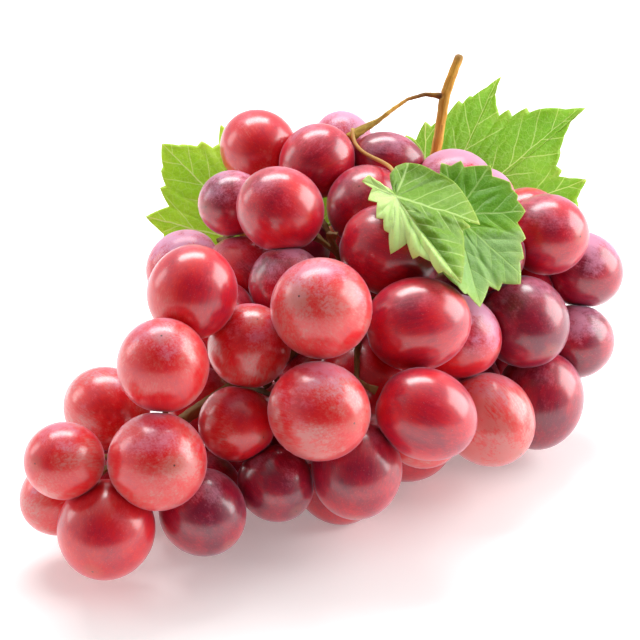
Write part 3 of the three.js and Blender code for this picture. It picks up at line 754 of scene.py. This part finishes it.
def petiole_line(corners, joint):
    """The middle line of a leaf's petiole: through the corners of the solid with no twin
    on the blade's other face."""
    keys = {tuple(key) for key in np.round(corners * TWIN_GRID).astype(int)}
    lone = []
    for corner in corners:
        twins = [corner + to_eye * CAD_BLADE, corner - to_eye * CAD_BLADE]
        found = any(
            tuple(np.round(twin * TWIN_GRID).astype(int) + np.array((i, j, k))) in keys
            for twin in twins for i in (-1, 0, 1) for j in (-1, 0, 1) for k in (-1, 0, 1)
        )
        if not found:
            lone.append(corner)
    lone = np.array(lone)
    far = lone[np.argmax(np.linalg.norm(lone - joint, axis=1))]
    chord = far - joint
    share = (lone - joint) @ chord / (chord @ chord)
    degree = min(4, max(1, len(lone) // 8))
    shape = np.polyfit(share, lone, degree, w=1 + 3 * (share > 0.9))
    shares = np.linspace(max(share.min(), 0), 1, PETIOLE_STEPS)
    return sum(np.outer(shares ** (degree - k), shape[k]) for k in range(degree + 1))


def tube_round(line, radius, sides):
    """Corners and faces of a closed tube round a line."""
    points, faces = [], []
    normal = np.array((0.3, 0.5, 0.8))
    for i, place in enumerate(line):
        way = line[min(i + 1, len(line) - 1)] - line[max(i - 1, 0)]
        way = way / np.linalg.norm(way)
        normal = normal - way * (normal @ way)
        normal = normal / np.linalg.norm(normal)
        other = np.cross(way, normal)
        for k in range(sides):
            turn = 2 * math.pi * k / sides
            points.append(place + radius * (normal * math.cos(turn) + other * math.sin(turn)))
    for i in range(len(line) - 1):
        for k in range(sides):
            a, b = i * sides + k, i * sides + (k + 1) % sides
            faces.append((a, b, b + sides, a + sides))
    faces.append(tuple(range(sides))[::-1])
    faces.append(tuple(range((len(line) - 1) * sides, len(line) * sides)))
    return np.array(points), faces


def puckers(flat, turns, ribs):
    """How far the blade swells between its side veins, from 0 on a vein to 1 midway."""
    spacing, slant, curve = ribs
    out = np.linalg.norm(flat, axis=2)
    along, across = out * np.cos(np.radians(turns)), out * np.sin(np.radians(turns))
    side = np.abs(across)
    foot = (along - side / math.tan(math.radians(slant)) - side**2 * curve) / spacing + 0.5 * (across < 0)
    midway = np.abs((foot % 1) * 2 - 1)
    shares = np.linspace(0, 1, len(flat))[:, None]
    return np.cos(midway * math.pi / 2) * np.clip(side / PUCKER_START, 0, 1) * (1 - shares**6)


def vine_leaf(node, material, joint, edge, veins, pale, ribs, pucker):
    """A fine blade and petiole in the place of a leaf's solid."""
    outline, tips = leaf_outline(joint, edge)
    joint = seen_at(*joint)
    corners, triangles = welded(node)
    solid = BVHTree.FromPolygons(corners.tolist(), triangles.tolist())
    count = len(outline)
    shares = np.linspace(0, 1, BLADE_RINGS + 1)
    flat = shares[:, None, None] * outline
    places = joint + (flat[..., :1] * right + flat[..., 1:] * upward) / 1000
    lines = places - eye
    reach = np.linalg.norm(lines, axis=2)
    lines /= reach[..., None]

    depth = np.zeros(reach.shape)
    known = np.zeros(reach.shape, bool)
    far = 2 * EYE_DISTANCE
    for at in np.ndindex(reach.shape):
        line = Vector(lines[at])
        front = solid.ray_cast(Vector(eye), line)[3]
        behind = solid.ray_cast(Vector(eye) + line * far, -line)[3]
        if front is None or behind is None:
            continue
        thickness = far - behind - front
        if 0.6 * CAD_BLADE < thickness < 1.5 * CAD_BLADE:
            depth[at] = (front + far - behind) / 2 - reach[at]
            known[at] = True
    depth = eased_grid(depth, known, DEPTH_EASING)
    surface = eye + lines * (reach + depth)[..., None]

    angles = np.degrees(np.arctan2(outline[:, 1], outline[:, 0]))
    off_veins = (angles[:, None] - np.array(veins) + 180) % 360 - 180
    turns = np.take_along_axis(off_veins, np.abs(off_veins).argmin(axis=1)[:, None], 1)[:, 0]
    off = np.sort(np.abs(off_veins), axis=1)
    between = 2 * off[:, 0] / (off[:, 0] + off[:, 1])

    step_out = np.gradient(surface, axis=0)
    step_round = np.roll(surface, -1, 1) - np.roll(surface, 1, 1)
    normals = np.cross(step_out, step_round)
    normals[0] = normals[1].mean(axis=0)
    normals /= np.linalg.norm(normals, axis=2)[..., None]
    if (normals[BLADE_RINGS // 2] @ to_eye).mean() < 0:
        normals = -normals
    surface = surface + normals * (pucker * puckers(flat, turns, ribs))[..., None]
    thin = BLADE_THICKNESS / 2 * (1 - 0.6 * shares**6)
    face = surface + normals * thin[:, None, None]
    rear = surface - normals * thin[:, None, None]

    def layer(grid):
        return np.vstack((grid[0, :1], grid[1:].reshape(-1, 3)))

    points = [*layer(face), *layer(rear)]
    layer_size = 1 + BLADE_RINGS * count
    faces, sectors = [], []
    middle_angle = angles + ((np.roll(angles, -1) - angles + 180) % 360 - 180) / 2
    gap = (middle_angle[:, None] - np.array(veins) + 180) % 360 - 180
    face_sector = np.abs(gap).argmin(axis=1)

    def index(ring, k):
        return 0 if ring == 0 else 1 + (ring - 1) * count + k % count

    for ring in range(BLADE_RINGS):
        for k in range(count):
            if ring == 0:
                cell = (index(0, 0), index(1, k), index(1, k + 1))
            else:
                cell = (index(ring, k), index(ring + 1, k), index(ring + 1, k + 1), index(ring, k + 1))
            faces.append(cell)
            faces.append(tuple(layer_size + i for i in reversed(cell)))
            sectors += [face_sector[k], face_sector[k]]
    for k in range(count):
        a, b = index(BLADE_RINGS, k), index(BLADE_RINGS, k + 1)
        faces.append((a, a + layer_size, b + layer_size, b))
        sectors.append(face_sector[k])

    petiole_points, petiole_faces = tube_round(
        petiole_line(corners, joint), PETIOLE_RADIUS, PETIOLE_SIDES
    )
    start = len(points)
    points += [*petiole_points]
    faces += [tuple(start + i for i in cell) for cell in petiole_faces]
    sectors += [0] * len(petiole_faces)

    mesh = bpy.data.meshes.new(node + "_blade")
    mesh.from_pydata([point.tolist() for point in points], [], faces)
    flat_points = np.vstack((flat[0, :1], flat[1:].reshape(-1, 2)))
    flat_points = np.vstack((flat_points, flat_points, np.zeros((len(petiole_points), 2))))
    corner_points = np.empty(len(mesh.loops), np.int32)
    mesh.loops.foreach_get("vertex_index", corner_points)
    corner_veins = np.array(veins)[np.repeat(sectors, [len(cell) for cell in faces])]
    corner_turn = np.radians(corner_veins)
    corner_flat = flat_points[corner_points]
    between = np.concatenate(([0], np.tile(between, BLADE_RINGS)))
    between = np.concatenate((between, between, np.zeros(len(petiole_points))))
    note(mesh, "vein", np.column_stack((
        corner_flat[:, 0] * np.cos(corner_turn) + corner_flat[:, 1] * np.sin(corner_turn),
        corner_flat[:, 1] * np.cos(corner_turn) - corner_flat[:, 0] * np.sin(corner_turn),
        between[corner_points],
    )), "CORNER")
    note(mesh, "flat", np.column_stack((flat_points, np.zeros(len(flat_points)))))
    # one side of the blade, past a line across it, is marked to be painted paler: painted light on the side
    # that faces the light
    pale_turn, pale_start, pale_width = pale
    pale_way = np.array((math.cos(math.radians(pale_turn)), math.sin(math.radians(pale_turn))))
    note(mesh, "pale", np.clip((flat_points @ pale_way - pale_start) / pale_width + 0.5, 0, 1))
    rim = np.concatenate(([0], (shares[1:, None] ** 14 * (0.35 + 0.65 * tips)).ravel()))
    no_rim = np.zeros(len(petiole_points))
    note(mesh, "rim", np.concatenate((rim, rim, no_rim)))
    is_petiole = np.zeros(len(points))
    is_petiole[start:] = 1
    note(mesh, "petiole", is_petiole)
    leaf = new_piece(node + "_blade", mesh, material)
    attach(leaf, "root")
    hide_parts(node)


def leaf_green(name, dark, middle, light, vein_color, vein_strength, lit_side_paleness, sunken, ribs):
    """A leaf's material. Its side veins are so many millimetres apart, slant so many degrees off
    the main ones and curve so much per millimetre."""
    spacing, slant, curve = ribs
    slant = math.radians(slant)
    material, wire, surface = finish_of(
        name, Specular_IOR_Level=0.22, Subsurface_Weight=0.3, Subsurface_Scale=0.0012,
        Subsurface_Radius=(0.6, 1, 0.2), Sheen_Weight=0.04,
    )
    vein = wire.attribute("vein")
    flat = wire.attribute("flat")
    rim = wire.attribute("rim", "Fac")
    petiole = wire.attribute("petiole", "Fac")
    pale = wire.attribute("pale", "Fac")

    def part(axis):
        return wire.node("ShaderNodeSeparateXYZ", (), {"Vector": vein}, axis)

    along, between = part("X"), part("Z")
    across = part("Y") + (flat.noise(0.14, 2) - 0.5) * 1.1
    side = across.math("ABSOLUTE", across)
    left = across.math("LESS_THAN", across, 0)
    wander = (flat.noise(0.16, 2) - 0.5) * 1.5
    width = 1.15 - along * 0.016
    main = 1 - (side / width).step(0.1, 0.34)
    foot = along - side / math.tan(slant) - side * side * curve
    foot = foot / spacing + left * 0.5 + wander * 0.12
    room = foot.math("PINGPONG", foot, 0.5) * (spacing * math.sin(slant))
    branch = (1 - room.step(0.05, 0.24)) * along.step(1.5, 5) * (1 - between.step(0.7, 1))
    warped = flat.shift(flat.node("ShaderNodeTexNoise", (), {"Vector": flat, "Scale": 0.5}, "Color"))
    net = warped.node(
        "ShaderNodeTexVoronoi", {"feature": "DISTANCE_TO_EDGE"}, {"Vector": warped, "Scale": 0.4}
    )
    net = 1 - net.step(0.01, 0.08)
    mesh_net = warped.node(
        "ShaderNodeTexVoronoi", {"feature": "DISTANCE_TO_EDGE"}, {"Vector": warped, "Scale": 1.1}
    )
    mesh_net = 1 - mesh_net.step(0.0, 0.12)
    # the side marked pale is painted lighter: painted light on the side of the blade turned to the light
    tint = flat.noise(0.07, 3) * 0.7 + flat.noise(0.9, 3) * 0.3 + (pale - 0.5) * lit_side_paleness
    blade = tint.ramp((0.3, dark), (0.5, middle), (0.7, light))
    strength = main.math("MAXIMUM", main, branch * 0.7)
    strength = strength.math("MAXIMUM", strength, net * 0.18)
    strength = strength.math("MAXIMUM", strength, mesh_net * 0.07)
    color = (strength * vein_strength).mix(blade, (*vein_color, 1))
    color = (rim * 0.55).mix(color, (0.58, 0.6, 0.12, 1))
    bare = flat.noise(3, 2).ramp((0.35, (0.42, 0.2, 0.05)), (0.65, (0.6, 0.36, 0.1)))
    color = petiole.mix(color, bare)
    connect(color, surface["Base Color"])
    connect(0.45 + (tint - 0.5) * 0.2, surface["Roughness"])
    height = (room.step(0, 1.6) - strength) * sunken + mesh_net * 0.1 + flat.noise(1.2, 2) * 0.4
    connect(height.bump(0.4, 0.0006), surface["Normal"])
    return material


BACK_RIBS = (8, 36, 0.01)
UNDER_RIBS = (5, 45, 0.02)
FRONT_RIBS = (4.4, 42, 0.012)
# the left back leaf gets a brighter copy of the back leaves' green: painted light that lifts the shade its
# slant puts on it
brightened_left_green = leaf_green(
    "left_leaf_brightened_green", (0.31, 0.58, 0.018), (0.42, 0.73, 0.03), (0.53, 0.82, 0.055),
    (0.8, 0.92, 0.38), 0.8, lit_side_paleness=0, sunken=-0.04, ribs=BACK_RIBS,
)
right_green = leaf_green(
    "right_leaf_green", (0.15, 0.37, 0.006), (0.2, 0.46, 0.01), (0.26, 0.54, 0.02),
    (0.72, 0.88, 0.3), 0.8, lit_side_paleness=0, sunken=-0.04, ribs=BACK_RIBS,
)
under_green = leaf_green(
    "under_leaf_green", (0.11, 0.3, 0.01), (0.18, 0.39, 0.02), (0.28, 0.47, 0.15),
    (0.42, 0.62, 0.18), 0.55, lit_side_paleness=0.4, sunken=0.3, ribs=UNDER_RIBS,
)
front_green = leaf_green(
    "front_leaf_green", (0.14, 0.29, 0.016), (0.2, 0.36, 0.035), (0.6, 0.9, 0.28),
    (0.55, 0.74, 0.26), 0.6, lit_side_paleness=0.46, sunken=0.5, ribs=FRONT_RIBS,
)
vine_leaf(
    "leaf_left", brightened_left_green, joint=(264, 247, 51.5),
    edge=[
        (345, 217), (335, 176), (299, 146), (278, 150), (260, 129), (240, 142), (220.6, 124.3), (219, 143.7),
        (212.4, 147.8), (201.7, 141), (197, 146.2), (181.8, 144.2), (178.8, 145.2), (161.9, 143.5),
        (161.4, 158), (163, 166.6), (160.9, 171.2), (165.5, 185.5), (159.9, 188), (169, 206.4),
        (145.6, 216.6), (156.8, 227.9), (163.5, 234), (167, 255.5), (180, 262), (186, 283.5), (205, 285),
        (213, 307.5), (234, 290), (245, 305), (269, 252),
    ],
    veins=[20, 70, 105, 134.6, 165.6, 205, 245], pale=(135, 0, 1), ribs=BACK_RIBS, pucker=0.00015,
)
vine_leaf(
    "leaf_right", right_green, joint=(423, 240, 47.5),
    edge=[
        (409, 251), (467.5, 303.5), (487, 293), (507, 299), (519, 281), (539, 271), (547, 253), (557, 240),
        (570, 228), (578.6, 205.6), (576.7, 199.2), (581, 190.3), (586.9, 179.5), (569.6, 178.2),
        (558.8, 176.3), (562, 170.5), (556.3, 166), (560.7, 153.3), (560, 149.5), (564.5, 135.5),
        (570.9, 121.4), (578.8, 114), (585.6, 108), (565.8, 109.3), (556.9, 108), (540.3, 108.7),
        (529.5, 112.5), (526.5, 107.7), (512.2, 116.3), (508.8, 109.3), (499.2, 115.7), (496.3, 104.8),
        (495.4, 94.6), (497.6, 84.4), (501.4, 76.4), (487, 87), (472.7, 96.6), (469.5, 95.9),
        (462.5, 103.6), (458.7, 100.4), (447.8, 114.4), (431, 126.5), (425.2, 121.3), (416, 140),
        (406, 135), (398, 150), (384, 157), (386, 172), (376, 187.5),
    ],
    veins=[20.4, 40.3, 65.3, 88.8, 120, 345, 310], pale=(40, 0, 1), ribs=BACK_RIBS, pucker=0.00015,
)
vine_leaf(
    "leaf_under", under_green, joint=(455, 215, 69.7),
    edge=[
        (445, 212), (423, 226), (434, 234), (426, 249.5), (438, 256), (443, 272.5), (446, 276),
        (457.5, 285.8), (465, 294), (467.5, 293.3), (479.9, 307.3), (489, 285.8), (499, 290.8),
        (502.3, 283.3), (520.6, 284.1), (519.7, 260.9), (523.9, 258.4), (520.6, 242.7), (525.9, 238.5),
        (517.2, 222.8), (525.5, 211.2), (517.2, 200.4), (518, 195.4), (512.3, 189.6), (509.8, 182.1),
        (492.4, 176.3), (490.7, 165.6), (464.2, 167.2), (460.9, 160.6), (451, 166), (441, 163),
        (440, 178), (431, 186),
    ],
    veins=[3, 54, 100, 230, 285.2, 318], pale=(275, 5, 6), ribs=UNDER_RIBS, pucker=0.0003,
)
vine_leaf(
    "leaf_front", front_green, joint=(396, 197, 76.9),
    edge=[
        (394, 192), (381, 184.5), (368.7, 174.9), (361.7, 181.2), (372.2, 188.2), (368, 200), (377.2, 202.3),
        (376.5, 218.4), (383.5, 219), (384.2, 230.3), (389, 233), (390.5, 254.2), (407.3, 243), (413, 259),
        (419.3, 255.6), (432, 262), (438.5, 273.5), (443.8, 271), (461.4, 283.6), (464.2, 245.7),
        (462.7, 230.3), (470.5, 226.8), (461, 218.8), (480, 224.7), (464.9, 195.2), (453.6, 181.2),
        (436.8, 172.8), (420, 164.4), (405.9, 163), (396, 166.5), (389.8, 174.2),
    ],
    # the lower-left half of the folded blade is painted paler: painted light on the half that faces the
    # light
    veins=[70, 155, 307.1, 343], pale=(217, 0, 1.4), ribs=FRONT_RIBS, pucker=0.0004,
)

# The studio. The bunch lies on a plain pale table top under a broad soft light from above and
# behind, with soft lights to its right and left and pale walls all round but on the viewer's side.

FLOOR_RADIUS = 4.0
WALL_LIGHT = 0.72
DARK_WALL = 0.08
FLOOR_SIDES = 96
LIT_HEIGHT = 0.05
rim_points = [
    (FLOOR_RADIUS * math.cos(turn), FLOOR_RADIUS * math.sin(turn), 0)
    for turn in np.linspace(0, 2 * math.pi, FLOOR_SIDES, endpoint=False)
]
floor_mesh = bpy.data.meshes.new("floor")
floor_mesh.from_pydata(rim_points, [], [tuple(range(FLOOR_SIDES))])
floor_material, *_ = finish_of(
    "pale_floor", Roughness=0.9, Specular_IOR_Level=0.1, Base_Color=(0.93, 0.93, 0.93, 1),
    Emission_Color=(1, 1, 1, 1), Emission_Strength=0.25,
)
floor = new_piece("floor", floor_mesh, floor_material)


def soft_light(name, place, width, height, brightness):
    light = bpy.data.lights.new(name, "AREA")
    light.shape = "RECTANGLE"
    light.size = width
    light.size_y = height
    light.energy = brightness * math.pi * width * height
    lamp = bpy.data.objects.new(name, light)
    bpy.context.scene.collection.objects.link(lamp)
    lamp.location = place
    aim = Vector((0, 0, LIT_HEIGHT)) - Vector(place)
    lamp.rotation_euler = aim.to_track_quat("-Z", "Y").to_euler()


def around(turn, out, high):
    """A place so far to the right of the line to the eye, in degrees, and so far out and up."""
    facing = math.atan2(-away[1], -away[0]) + math.radians(turn)
    return (out * math.cos(facing), out * math.sin(facing), high)


soft_light("key", around(-170, 0.55, 1.0), 0.9, 0.36, 10.7)
soft_light("side", around(100, 0.85, 0.4), 0.75, 0.7, 5.2)
soft_light("left", around(-105, 0.9, 0.35), 0.3, 0.5, 3)
walls = bpy.data.worlds.new("white_walls")
walls.use_nodes = True
wall = Wire(walls.node_tree)
direction = wall.node("ShaderNodeTexCoord", (), (), "Generated")
to_viewer = wall.node(
    "ShaderNodeVectorMath", {"operation": "DOT_PRODUCT"}, {0: direction, 1: to_eye.tolist()}, "Value"
)
dark_side = to_viewer.step(0.35, 0.9)
backdrop = walls.node_tree.nodes["Background"].inputs
connect(WALL_LIGHT - dark_side * (WALL_LIGHT - DARK_WALL), backdrop["Strength"])
backdrop["Color"].default_value = (1, 1, 1, 1)
bpy.context.scene.world = walls
bpy.context.scene.view_settings.view_transform = "Standard"
